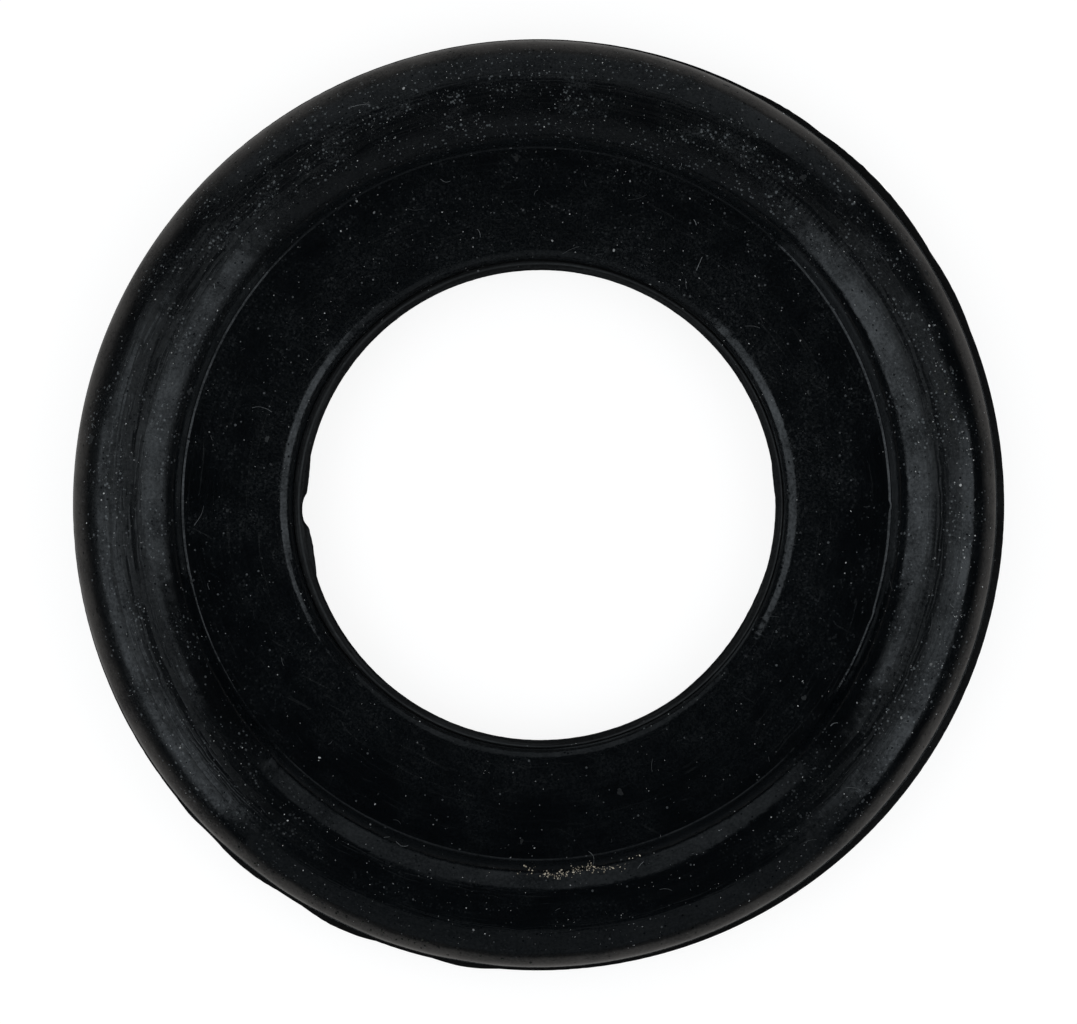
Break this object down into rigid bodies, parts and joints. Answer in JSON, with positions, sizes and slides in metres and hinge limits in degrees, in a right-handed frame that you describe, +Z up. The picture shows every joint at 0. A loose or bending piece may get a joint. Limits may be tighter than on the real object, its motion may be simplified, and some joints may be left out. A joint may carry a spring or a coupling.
{
  "type": "sealing ring",
  "caption": "Black rubber sealing ring: a thick round bead at the rim, a thin flat web inside it, and a round central hole with a rounded lip and a trimmed mould line.",
  "frame": {"origin": "on the axis of the hole, at the surface that the ring lies on", "axes": "+Z up along the axis of the hole; +X and +Y lie in the plane of the ring, with the deepest step of the parting line towards +X"},
  "size_m": [0.018, 0.018, 0.0021],
  "materials": {
    "rubber": "moulded black rubber with a skin gloss, dusty"
  },
  "bodies": {
    "root": {"sealing_ring": "rubber"}
  },
  "joints": []
}
